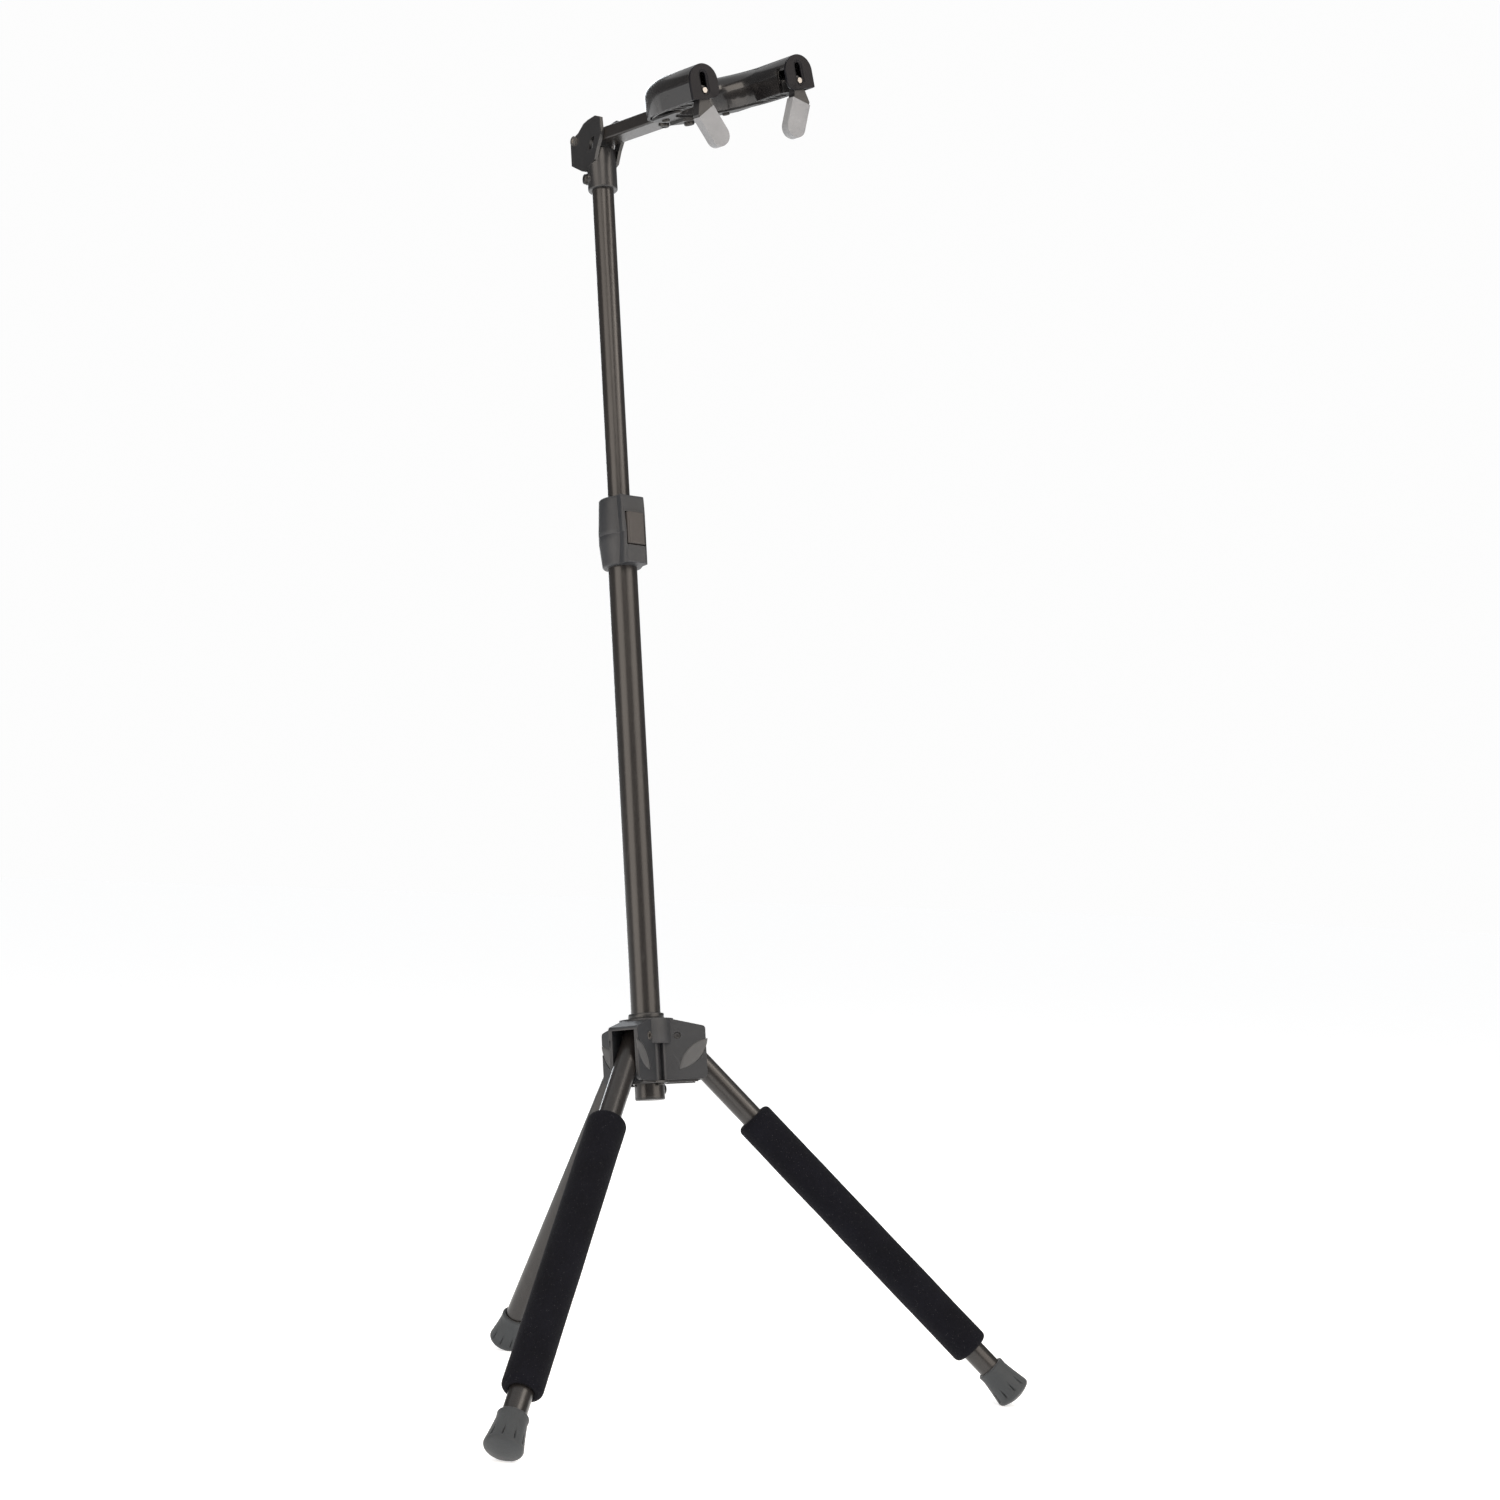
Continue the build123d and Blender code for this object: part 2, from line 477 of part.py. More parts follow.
def make_yoke_frame():
    """Die-cast tray inside the cradle: boss for the shaft, ribs, and eyes for the finger pins."""
    frame = u_bar(FRAME_HALF, YOKE_BOTTOM, FRAME_TOP, FRAME_FRONT)
    hollow = u_bar(FRAME_HALF - TRAY_WALL, YOKE_BOTTOM - 1, FRAME_TOP - TRAY_WALL, FRAME_FRONT - 6)
    rib = block(HALF_SPAN - YOKE_BAND, HALF_SPAN + YOKE_BAND, -RIB_T / 2, RIB_T / 2, YOKE_BOTTOM, FRAME_TOP)
    for angle in BEND_RIB_ANGLES:
        hollow -= Pos(0, -YOKE_CENTRE, 0) * Rot(Z=angle) * rib
    for step in range(PRONG_RIBS):
        row = Pos(0, -YOKE_CENTRE - step * PRONG_RIB_STEP, 0)
        hollow -= row * block(-FAR, FAR, -RIB_T / 2, RIB_T / 2, YOKE_BOTTOM, FRAME_TOP)
    hollow -= block(-BOSS_HALF - 2, BOSS_HALF + 2, -BOSS_FRONT, -YOKE_REAR, YOKE_BOTTOM - PAST, FRAME_TOP)
    frame -= hollow
    frame += block(-BOSS_HALF, BOSS_HALF, -BOSS_FRONT, -BOSS_REAR, 0, BOSS_TOP)
    frame -= block(-BOSS_HALF, BOSS_HALF, -BOSS_FRONT - 4, -BOSS_FRONT, YOKE_BOTTOM - PAST, 8)
    frame -= rod_y(SHAFT_D / 2 + FIT, -BOSS_FRONT - 1, 0)
    pins = []
    for sign in (-1, 1):
        frame -= rod_y(FINGER_PIN_D / 2, -FAR, -PIN_ROOT, x=sign * HALF_SPAN)
        pins.append(rod_y(FINGER_PIN_D / 2, -PRONG_TIP + 0.8, -PIN_ROOT, x=sign * HALF_SPAN))
    keep("yoke_frame", frame, YOKE)
    keep("finger_pins", group(pins), YOKE)


def make_yoke_plate():
    """The plate screwed under the rear of the tray."""
    plate = u_bar(FRAME_HALF, YOKE_BOTTOM - REAR_PLATE_T, YOKE_BOTTOM, YOKE_CENTRE + 4)
    plate &= block(-46, 46, -YOKE_CENTRE + 6, 0, YOKE_BOTTOM - PAST, 0)
    plate_low = YOKE_BOTTOM - REAR_PLATE_T
    plate += block(-13, 13, -YOKE_REAR - 24, -YOKE_REAR - 6, plate_low - PAD_T, plate_low)
    keep("yoke_plate", plate, YOKE)
    screws = [Pos(0, -PAD_SCREW_AT, plate_low - PAD_T) * Rot(X=180) * make_pan_head(4.4, 2.8)]
    for angle in (50, 130):
        spot = Pos(0, -YOKE_CENTRE, 0) * Rot(Z=angle) * Pos(HALF_SPAN, 0, YOKE_BOTTOM - REAR_PLATE_T)
        screws.append(spot * Rot(X=180) * make_pan_head(3.2, 1.8))
    keep("yoke_plate_screws", group(screws), YOKE)


def slot_bar(half, depth, y):
    """A vertical slot of rounded section, cut forward from y."""
    height = SLOT_HIGH - SLOT_LOW + 2 * (half - SLOT_HALF)
    shape = Pos(0, (SLOT_LOW + SLOT_HIGH) / 2) * SlotOverall(height, 2 * half, 90)
    return Pos(0, y, 0) * extrude(Plane.XZ * shape, depth)


def make_cradle():
    """The moving cover that the instrument's head rests on, with a cap at each prong's end."""
    half = YOKE_BAND / 2
    cover = u_bar(half, YOKE_BOTTOM, YOKE_TOP, PRONG_TIP - CAP_T, True)
    cover -= u_bar(half - COVER_WALL, YOKE_BOTTOM - 1, YOKE_TOP - COVER_WALL, PRONG_TIP, True)
    for sign in (-1, 1):
        x = sign * (HALF_SPAN - half)
        cover -= block(x - 3, x + 3, -PRONG_TIP - 1, -FINGER_BACK + 1, YOKE_BOTTOM - 1, GATE_TOP)
    reach = SHAFT_D / 2 + 1
    cover -= block(-reach, reach, -YOKE_REAR - COVER_WALL - PAST, -YOKE_REAR + 2, YOKE_BOTTOM - 1,
                   CRADLE_TRAVEL + reach)
    keep("cradle_cover", cover, YOKE)
    for name, sign in (("left", -1), ("right", 1)):
        face = bar_section(half, YOKE_BOTTOM, YOKE_TOP, True)
        inner = face.vertices().group_by(Axis.Y)[0].sort_by(Axis.X)
        face = fillet(inner[-1] if sign < 0 else inner[0], 7)
        cap = Pos(0, -PRONG_TIP + CAP_T, 0) * extrude(Plane.XZ * face, CAP_T)
        cap -= slot_bar(SLOT_HALF, 2 * PAST, -PRONG_TIP + PAST)
        cap -= slot_bar(SLOT_HALF + SLOT_BORDER, PAST, -PRONG_TIP + 0.8)
        keep(f"tip_cap_{name}", Pos(sign * HALF_SPAN, 0, 0) * cap, YOKE)


def make_cradle_springs():
    """Two compression springs lift the cradle off the frame."""
    springs = []
    for sign in (-1, 1):
        path = Helix(SPRING_PITCH, SPRING_LENGTH, SPRING_R)
        wire = sweep(Plane(path @ 0, z_dir=path % 0) * Circle(SPRING_WIRE / 2), path, is_frenet=True)
        springs.append(Pos(sign * HALF_SPAN, -SPRING_AT, FRAME_TOP + 0.6) * wire)
    keep("cradle_springs", group(springs), YOKE)


def make_fingers():
    """Levers on the finger pins, each with a rubber paddle moulded round its tongue."""
    lever_half, tongue_half, tongue_t = 4.6, 5.0, 3.0
    tongue_end = PADDLE_END - 9
    middle = -FINGER_BACK - FINGER_THICK / 2
    for name, sign in (("left", -1), ("right", 1)):
        off = sign * FINGER_OUT
        inner = off - sign * (PADDLE_W / 2 - 1)
        outer = off + sign * (PADDLE_W / 2 - 1)
        corners = [(-sign * lever_half, 0), (inner, -PADDLE_TOP + 3), (inner, -PADDLE_TOP),
                   (outer, -PADDLE_TOP), (outer, -PADDLE_TOP + 2), (sign * lever_half, 0)]
        outline = make_face(Polyline(*corners, close=True)) + Circle(lever_half)
        lever = extrude(Plane.XZ * outline, FINGER_THICK / 2, both=True)
        tongue = block(off - tongue_half, off + tongue_half, -tongue_t / 2, tongue_t / 2,
                       -tongue_end, -PADDLE_TOP)
        lever = lever + tongue - rod_y(FINGER_PIN_D / 2 + FIT, -FAR, FAR)
        sketch = Pos(off, -(PADDLE_TOP + PADDLE_END) / 2) * RectangleRounded(
            PADDLE_W, PADDLE_END - PADDLE_TOP, 8.5)
        sketch += Pos(off, -PADDLE_TOP - 7) * Rectangle(PADDLE_W, 14)
        paddle = extrude(Plane.XZ * sketch, FINGER_THICK / 2, both=True) - tongue
        place = YOKE * Pos(sign * HALF_SPAN, middle, 0) * Rot(Y=sign * FINGER_REST)
        keep(f"finger_lever_{name}", lever, place)
        keep(f"finger_pad_{name}", paddle, place)


make_yoke_frame()
make_yoke_plate()
make_cradle()
make_cradle_springs()
make_fingers()


# ---------------------------------------------------------------- legs
LEG_R = LEG_TUBE_D / 2
LEG_BORE = LEG_R - LEG_TUBE_WALL
SOLE_T = 7.0


def leg_place(name):
    """Z runs down the open leg from its pivot, Y along the hinge pin."""
    return leg_hub_place(name) * Pos(LEG_PIVOT_RADIUS, 0, LEG_PIVOT_HEIGHT) * Rot(Y=180 - LEG_OPEN)


def make_foot(length):
    """Rubber foot, drawn down the leg to its sole at z=length."""
    top = length - FOOT_LENGTH
    foot = turned([(0, top), (FOOT_TOP_R - 1.5, top), (FOOT_TOP_R - 0.4, top + 0.5), (FOOT_TOP_R, top + 1.8),
                   (FOOT_TOP_R - 0.2, top + 6), (FOOT_TOP_R + 0.4, top + 12), (FOOT_BOTTOM_R, length - 7),
                   (FOOT_BOTTOM_R - 0.2, length - 4.5), (FOOT_BOTTOM_R - 1.6, length - 2.4),
                   (FOOT_BOTTOM_R - 5, length - 0.7), (0, length)])
    for k in range(FOOT_FLUTES):
        groove = Pos(FOOT_BOTTOM_R + 1.2, 0, length - 15) * Rot(Y=-6) * Rot(Z=45) * Box(3.4, 3.4, 20)
        foot -= Rot(Z=k * 360 / FOOT_FLUTES) * groove
    return foot - rod(LEG_R, top - PAST, length - SOLE_T)


def leg_length(name):
    """Length from the pivot at which the sole sinks FOOT_SINK below the floor."""
    trial = 400.0
    low = (leg_place(name) * make_foot(trial)).bounding_box().min.Z
    down = (leg_place(name) * Pos(0, 0, 1)).position - leg_place(name).position
    return trial + (low + FOOT_SINK) / -down.Z


def make_leg(name):
    place = leg_place(name)
    length = leg_length(name)
    swing = rod_y(LEG_R, -LEG_R, LEG_R)
    room = swing + block(-LEG_R, LEG_R, -LEG_R, LEG_R, 0, length)
    hole = rod_y(LEG_PIN_D / 2 + FIT, -FAR, FAR)
    tube = rod(LEG_R, -LEG_R, length - SOLE_T, LEG_BORE) & room
    keep(f"leg_tube_{name}", tube - hole, place)
    plug = rod(LEG_BORE, -LEG_R, 16) & room
    keep(f"leg_plug_{name}", plug - hole, place)
    floor = block(-2 * FAR, 2 * FAR, -2 * FAR, 2 * FAR, -FAR, 0)
    keep(f"foot_{name}", place * make_foot(length) - floor)
    if name != "rear":
        foam = rod(FOAM_D / 2, FOAM_START, FOAM_START + FOAM_LENGTH)
        foam = fillet(foam.edges().filter_by(GeomType.CIRCLE), 3)
        keep(f"foam_sleeve_{name}", foam - rod(LEG_R, 0, length), place)


for leg in LEG_AZIMUTHS:
    make_leg(leg)


# ---------------------------------------------------------------- origin and export
# The origin is on the floor below the middle of the whole stand.
boxes = [shape.bounding_box() for shape in nodes.values()]
centre_x = (min(b.min.X for b in boxes) + max(b.max.X for b in boxes)) / 2
centre_y = (min(b.min.Y for b in boxes) + max(b.max.Y for b in boxes)) / 2
ORIGIN = Pos(-centre_x, -centre_y, 0)
for name, shape in nodes.items():
    export_step(ORIGIN * shape, f"parts/{name}.step")


def show_joint(name, place, axis):
    """Prints a joint's place and axis in the finished frame, in metres."""
    frame = ORIGIN * place
    spot = frame.position
    tip = (frame * Pos(*axis)).position - spot
    print(name, [round(v / 1000, 6) for v in spot], [round(v, 6) for v in tip])


for leg in LEG_AZIMUTHS:
    show_joint(f"leg_{leg}", leg_place(leg), (0, 1, 0))
show_joint("mast", MAST * Pos(0, 0, CLUTCH_TOP), (0, 0, 1))
show_joint("clutch_button", MAST * Pos(0, -BUTTON_FACE, (BUTTON_LOW + BUTTON_HIGH) / 2), (0, 1, 0))
show_joint("snap_button", MAST * Pos(LOWER_R + SNAP_PROUD, 0, SNAP_HEIGHT), (-1, 0, 0))
show_joint("arm", HEAD, (1, 0, 0))
show_joint("yoke_tilt", YOKE * Pos(0, -YOKE_CENTRE, 0), (0, -1, 0))
show_joint("cradle", YOKE * Pos(0, -YOKE_CENTRE, YOKE_TOP), (0, 0, -1))
for sign in (-1, 1):
    show_joint("finger", YOKE * Pos(sign * HALF_SPAN, -PRONG_TIP, 0), (0, 1, 0))
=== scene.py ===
import json
import math

import bmesh
import bpy
from mathutils import Matrix, Vector, noise


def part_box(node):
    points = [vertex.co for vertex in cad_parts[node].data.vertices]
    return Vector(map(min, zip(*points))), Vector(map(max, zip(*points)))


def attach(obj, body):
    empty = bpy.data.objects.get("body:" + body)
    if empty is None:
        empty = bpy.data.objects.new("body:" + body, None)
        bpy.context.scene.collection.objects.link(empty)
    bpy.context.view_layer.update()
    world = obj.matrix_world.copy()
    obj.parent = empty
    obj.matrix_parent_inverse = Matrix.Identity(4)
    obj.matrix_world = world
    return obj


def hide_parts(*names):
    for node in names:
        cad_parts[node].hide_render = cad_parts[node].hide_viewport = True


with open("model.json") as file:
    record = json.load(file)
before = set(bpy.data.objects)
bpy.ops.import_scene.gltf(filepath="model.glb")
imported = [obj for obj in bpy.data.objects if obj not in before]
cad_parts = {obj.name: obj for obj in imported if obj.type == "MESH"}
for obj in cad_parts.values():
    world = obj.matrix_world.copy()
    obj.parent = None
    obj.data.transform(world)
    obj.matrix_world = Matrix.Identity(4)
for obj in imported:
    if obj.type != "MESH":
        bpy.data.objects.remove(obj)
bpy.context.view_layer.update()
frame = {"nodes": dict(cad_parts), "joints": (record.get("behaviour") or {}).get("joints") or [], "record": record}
NODES = frame["nodes"]
JOINTS = {j["name"]: j for j in frame["joints"]}

# ------------------------------------------------------------------ sizes, in metres
LEAN = math.radians(9.0)
LEG_OPEN = math.radians(40.8)
LEG_AZIMUTHS = {"left": 210.0, "right": 330.0, "rear": 90.0}
LEG_R = 0.0095
FOAM_R = 0.0162
FOAM_START = 0.0935
FOAM_LENGTH = 0.2665
FOOT_LENGTH = 0.034
FOOT_TOP_R = 0.0123
FOOT_BOTTOM_R = 0.0154
FOOT_FLUTES = 10
FOOT_SHOULDER = 0.0016      # round of the foot's top edge
FOOT_SOLE_ROUND = 0.004
FLUTE_ABOVE_SOLE = 0.0185   # where a flute starts
FLUTE_LENGTH = 0.0105
FLUTE_DEPTH = 0.0019
FOAM_LIP = 0.0045           # round of the foam's ends
FOAM_STEPS = 90
FOAM_COARSE = 0.00022       # unevenness of the foam's skin
FOAM_FINE = 0.00009

# ------------------------------------------------------------------ material nodes


class Nodes:
    """A material's node tree with short calls to add and join nodes."""

    def __init__(self, name):
        self.material = bpy.data.materials.new(name)
        self.material.use_nodes = True
        self.tree = self.material.node_tree
        self.tree.nodes.clear()
        self.out = self.add("ShaderNodeOutputMaterial")
        self.shader = self.add("ShaderNodeBsdfPrincipled")
        self.link(self.shader.outputs["BSDF"], self.out.inputs["Surface"])
        self.where = self.add("ShaderNodeTexCoord").outputs["Object"]

    def add(self, kind, **values):
        node = self.tree.nodes.new(kind)
        for key, value in values.items():
            setattr(node, key, value)
        return node

    def link(self, a, b):
        self.tree.links.new(a, b)

    def stretched(self, scale):
        node = self.add("ShaderNodeMapping")
        node.inputs["Scale"].default_value = scale
        self.link(self.where, node.inputs["Vector"])
        return node.outputs["Vector"]

    def noise(self, scale, detail=4.0, rough=0.6, where=None, distortion=0.0):
        node = self.add("ShaderNodeTexNoise")
        self.link(where or self.where, node.inputs["Vector"])
        node.inputs["Scale"].default_value = scale
        node.inputs["Detail"].default_value = detail
        node.inputs["Roughness"].default_value = rough
        node.inputs["Distortion"].default_value = distortion
        return node.outputs["Fac"]

    def cells(self, scale, feature="F1", where=None):
        node = self.add("ShaderNodeTexVoronoi", feature=feature)
        self.link(where or self.where, node.inputs["Vector"])
        node.inputs["Scale"].default_value = scale
        return node.outputs["Distance"]

    def span(self, value, low, high, to_low=0.0, to_high=1.0):
        node = self.add("ShaderNodeMapRange", clamp=True)
        self.link(value, node.inputs["Value"])
        for key, v in (("From Min", low), ("From Max", high), ("To Min", to_low), ("To Max", to_high)):
            node.inputs[key].default_value = v
        return node.outputs["Result"]

    def maths(self, operation, a, b):
        node = self.add("ShaderNodeMath", operation=operation)
        for socket, v in zip(node.inputs, (a, b)):
            if isinstance(v, (int, float)):
                socket.default_value = v
            else:
                self.link(v, socket)
        return node.outputs["Value"]

    def mix(self, factor, a, b):
        node = self.add("ShaderNodeMix", data_type="RGBA")
        self.link(factor, node.inputs["Factor"])
        for socket, v in ((node.inputs[6], a), (node.inputs[7], b)):
            if isinstance(v, tuple):
                socket.default_value = (*v, 1.0)
            else:
                self.link(v, socket)
        return node.outputs[2]

    def bump(self, height, strength, depth, below=None):
        node = self.add("ShaderNodeBump")
        node.inputs["Strength"].default_value = strength
        node.inputs["Distance"].default_value = depth
        self.link(height, node.inputs["Height"])
        if below is not None:
            self.link(below, node.inputs["Normal"])
        return node.outputs["Normal"]

    def edges(self, radius):
        """About 1 on outer and inner edges and 0 on open faces."""
        soft = self.add("ShaderNodeBevel", samples=4)
        soft.inputs["Radius"].default_value = radius
        geometry = self.add("ShaderNodeNewGeometry")
        dot = self.add("ShaderNodeVectorMath", operation="DOT_PRODUCT")
        self.link(soft.outputs["Normal"], dot.inputs[0])
        self.link(geometry.outputs["Normal"], dot.inputs[1])
        return self.span(dot.outputs["Value"], 0.99, 0.8)

    def finish(self, colour, rough, normal=None, **uniform):
        self.link(colour, self.shader.inputs["Base Color"])
        self.link(rough, self.shader.inputs["Roughness"])
        if normal is not None:
            self.link(normal, self.shader.inputs["Normal"])
        for key, value in uniform.items():
            self.shader.inputs[key.replace("_", " ")].default_value = value
        return self.material


def painted_metal(name, dark, light, rough, worn, peel):
    """Powder-coated steel: fine orange peel, faint rub marks and paler edges."""
    m = Nodes(name)
    drift = m.noise(14.0, 3.0)
    grain = m.noise(1900.0, 2.0)
    rub = m.span(m.noise(60.0, 8.0, 0.75, m.stretched((3.0, 3.0, 0.35))), 0.56, 0.72)
    base = m.mix(m.span(drift, 0.3, 0.7), dark, light)
    base = m.mix(m.maths("MULTIPLY", m.edges(0.0006), 0.35), base, worn)
    base = m.mix(m.maths("MULTIPLY", rub, 0.12), base, worn)
    fine = m.span(grain, 0.3, 0.7, rough - 0.04, rough + 0.05)
    fine = m.maths("ADD", fine, m.maths("MULTIPLY", rub, 0.1))
    normal = m.bump(m.noise(520.0, 2.0), peel, 0.0002)
    normal = m.bump(grain, peel * 0.7, 0.00006, normal)
    return m.finish(base, fine, normal, Metallic=0.1, Coat_Weight=0.25, Coat_Roughness=rough * 0.7)


def moulded(name, dark, light, rough, grain_scale, depth, worn, coat=0.0):
    """Moulded plastic with a spark-eroded grain."""
    m = Nodes(name)
    drift = m.noise(22.0, 4.0)
    grain = m.cells(grain_scale)
    fine = m.noise(grain_scale * 1.7, 3.0)
    dust = m.span(m.noise(240.0, 9.0, 0.8), 0.62, 0.78)
    base = m.mix(m.span(drift, 0.32, 0.68), dark, light)
    base = m.mix(m.maths("MULTIPLY", m.edges(0.0005), 0.4), base, worn)
    base = m.mix(m.maths("MULTIPLY", dust, 0.15), base, worn)
    height = m.maths("ADD", grain, m.maths("MULTIPLY", fine, 0.6))
    normal = m.bump(height, 0.55, depth)
    rougher = m.span(fine, 0.3, 0.7, rough - 0.05, rough + 0.06)
    rougher = m.maths("ADD", rougher, m.maths("MULTIPLY", dust, 0.12))
    return m.finish(base, rougher, normal, Coat_Weight=coat, Coat_Roughness=0.12)


def rubber(name, dark, light, rough, grain_scale, depth):
    """Moulded rubber: matte, mottled, with fine pits and a soft sheen."""
    m = Nodes(name)
    drift = m.noise(35.0, 5.0)
    pits = m.cells(grain_scale)
    fine = m.noise(grain_scale * 0.8, 5.0, 0.7)
    scuff = m.span(m.noise(110.0, 8.0, 0.75), 0.58, 0.75)
    base = m.mix(m.span(drift, 0.3, 0.7), dark, light)
    base = m.mix(m.maths("MULTIPLY", m.span(fine, 0.45, 0.75), 0.25), base, light)
    base = m.mix(m.maths("MULTIPLY", scuff, 0.2), base, tuple(min(1.0, c * 1.7) for c in light))
    normal = m.bump(m.maths("ADD", pits, fine), 0.6, depth)
    rougher = m.span(fine, 0.3, 0.7, rough - 0.06, min(1.0, rough + 0.06))
    return m.finish(base, rougher, normal, Sheen_Weight=0.15, Sheen_Roughness=0.5)


def foam(name):
    """Closed-cell foam: near black, open pores with painted shade in them, and pale specks of dust."""
    m = Nodes(name)
    pores = m.cells(1500.0)
    large = m.noise(420.0, 6.0, 0.75)
    patches = m.span(m.noise(300.0, 2.0), 0.5, 0.62)
    specks = m.maths("MULTIPLY", m.span(m.cells(900.0), 0.17, 0.08), patches)
    drift = m.span(m.noise(30.0, 4.0), 0.3, 0.7)
    base = m.mix(drift, (0.0022, 0.0024, 0.0045), (0.0045, 0.0048, 0.0085))
    # painted shade: the pores are darkened towards black
    base = m.mix(m.maths("MULTIPLY", m.span(pores, 0.5, 0.15), 0.5), base, (0.001, 0.001, 0.0015))
    base = m.mix(m.maths("MULTIPLY", specks, 0.7), base, (0.16, 0.16, 0.17))
    normal = m.bump(m.maths("ADD", pores, large), 0.8, 0.00025)
    rough = m.span(large, 0.3, 0.7, 0.82, 0.98)
    return m.finish(base, rough, normal, Specular_IOR_Level=0.12, Sheen_Weight=0.01, Sheen_Roughness=0.6)


def steel(name, dark, light, rough, where=(1.0, 1.0, 1.0)):
    """Bare or blackened steel with fine turning marks and small stains."""
    m = Nodes(name)
    lines = m.noise(2600.0, 3.0, 0.6, m.stretched(where))
    stain = m.span(m.noise(160.0, 7.0, 0.7), 0.5, 0.75)
    base = m.mix(m.span(lines, 0.3, 0.7), dark, light)
    base = m.mix(m.maths("MULTIPLY", stain, 0.35), base, tuple(c * 0.4 for c in dark))
    rougher = m.span(lines, 0.3, 0.7, rough - 0.05, rough + 0.08)
    rougher = m.maths("ADD", rougher, m.maths("MULTIPLY", stain, 0.15))
    return m.finish(base, rougher, m.bump(lines, 0.25, 0.00005), Metallic=1.0)


def gloss(name, dark, light, rough, coat=0.5, shine=0.5):
    """Glossy moulded plastic: slight waviness, handling marks, dust and a painted highlight along its edges."""
    m = Nodes(name)
    drift = m.noise(18.0, 4.0)
    waves = m.noise(95.0, 2.0)
    marks = m.span(m.noise(70.0, 9.0, 0.8, distortion=0.6), 0.55, 0.72)
    dust = m.span(m.cells(1400.0), 0.12, 0.05)
    base = m.mix(m.span(drift, 0.3, 0.7), dark, light)
    # painted highlight: edges mixed towards a brighter copy of the plastic's tone
    base = m.mix(m.maths("MULTIPLY", m.edges(0.0006), 0.3), base, tuple(c * 4 for c in light))
    base = m.mix(m.maths("MULTIPLY", dust, 0.2), base, (0.14, 0.13, 0.13))
    normal = m.bump(waves, 0.12, 0.0004)
    normal = m.bump(m.noise(1700.0, 3.0), 0.1, 0.00005, normal)
    rougher = m.span(drift, 0.3, 0.7, rough - 0.03, rough + 0.04)
    rougher = m.maths("ADD", rougher, m.maths("MULTIPLY", marks, 0.14))
    return m.finish(base, rougher, normal, Coat_Weight=coat, Coat_Roughness=0.08,
                    Specular_IOR_Level=shine)


MATERIALS = {
    "tube_paint": painted_metal("tube_paint", dark=(0.012, 0.0105, 0.010), light=(0.017, 0.015, 0.014),
                                rough=0.30, worn=(0.10, 0.095, 0.09), peel=0.18),
    "casting": painted_metal("casting", dark=(0.013, 0.013, 0.014), light=(0.019, 0.019, 0.020),
                             rough=0.36, worn=(0.12, 0.12, 0.12), peel=0.45),
    "hub_plastic": moulded("hub_plastic", dark=(0.015, 0.017, 0.020), light=(0.022, 0.024, 0.028),
                           rough=0.50, grain_scale=1500.0, depth=0.00012, worn=(0.13, 0.13, 0.135)),
    # a paler copy of hub_plastic for the lens panels: painted light on these flat facets of the hub
    "lit_panel_plastic": moulded("lit_panel_plastic", dark=(0.060, 0.062, 0.065), light=(0.072, 0.074, 0.077),
                             rough=0.6, grain_scale=3200.0, depth=0.00004, worn=(0.10, 0.10, 0.105)),
    "button_plastic": moulded("button_plastic", dark=(0.024, 0.021, 0.020), light=(0.032, 0.029, 0.028),
                              rough=0.44, grain_scale=1800.0, depth=0.0001, worn=(0.14, 0.13, 0.13)),
    "cradle_plastic": gloss("cradle_plastic", dark=(0.007, 0.0065, 0.007), light=(0.011, 0.010, 0.010),
                            rough=0.24),
    "cap_plastic": gloss("cap_plastic", dark=(0.005, 0.005, 0.007), light=(0.008, 0.008, 0.010),
                         rough=0.3, coat=0.05, shine=0.12),
    "lever_plastic": moulded("lever_plastic", dark=(0.008, 0.008, 0.009), light=(0.013, 0.013, 0.014),
                             rough=0.42, grain_scale=2000.0, depth=0.00008, worn=(0.08, 0.08, 0.08),
                             coat=0.15),
    "finger_rubber": rubber("finger_rubber", dark=(0.175, 0.182, 0.194), light=(0.215, 0.222, 0.235),
                            rough=0.78, grain_scale=1700.0, depth=0.00018),
    "foot_rubber": rubber("foot_rubber", dark=(0.017, 0.021, 0.025), light=(0.025, 0.030, 0.034),
                          rough=0.66, grain_scale=1300.0, depth=0.00015),
    "foam": foam("foam"),
    "black_screw": steel("black_screw", dark=(0.035, 0.034, 0.033), light=(0.07, 0.068, 0.066), rough=0.38),
    "bright_steel": steel("bright_steel", dark=(0.30, 0.285, 0.265), light=(0.42, 0.40, 0.38),
                          rough=0.34, where=(1.0, 4.0, 1.0)),
    "spring_steel": steel("spring_steel", dark=(0.28, 0.28, 0.29), light=(0.45, 0.45, 0.46),
                          rough=0.30, where=(3.0, 1.0, 1.0)),
}

